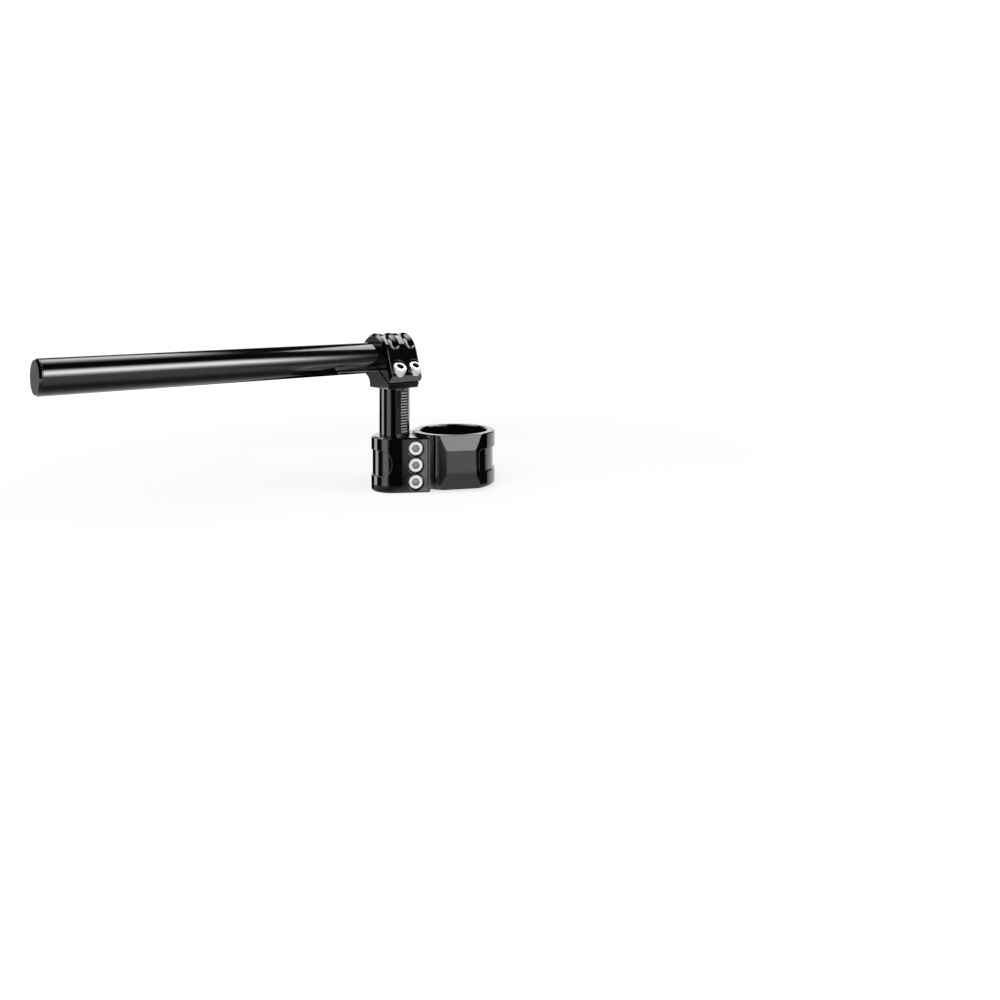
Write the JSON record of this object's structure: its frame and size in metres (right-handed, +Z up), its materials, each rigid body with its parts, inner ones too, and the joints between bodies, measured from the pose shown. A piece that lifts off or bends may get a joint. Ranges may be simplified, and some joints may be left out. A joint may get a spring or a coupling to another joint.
{
  "type": "clip-on handlebar",
  "caption": "Left clip-on handlebar: a bolted fork tube clamp, a height-scaled riser post with a split bar clamp, and a straight plugged bar tube.",
  "frame": {"origin": "on the fork tube's axis, at the middle of the height of the clamp's bolted boss", "axes": "+Z up along the fork tube, -X from the fork tube to the riser post, -Y to the side that the clamp bolts' heads are on"},
  "size_m": [0.3035, 0.128, 0.1136],
  "materials": {
    "black_anodised": "gloss black anodised, machined",
    "black_tube": "gloss black anodised, drawn tube",
    "bright_steel": "bright zinc-plated"
  },
  "bodies": {
    "clamp": {"fork_clamp": "black_anodised", "clamp_bolt_upper": "bright_steel", "clamp_bolt_middle": "bright_steel", "clamp_bolt_lower": "bright_steel"},
    "riser": {"riser": "black_anodised", "bar_bolt_outer": "bright_steel", "bar_bolt_inner": "bright_steel"},
    "bar": {"handlebar": "black_tube", "bar_end_plug": "black_tube"}
  },
  "joints": [
    {"name": "riser_height", "type": "slide", "parent": "clamp", "child": "riser", "axis": [0, 0, -1], "range_m": [0, 0.03]},
    {"name": "bar_reach", "type": "slide", "parent": "riser", "child": "bar", "axis": [0.9205, 0.3907, 0], "range_m": [0, 0.02]}
  ]
}
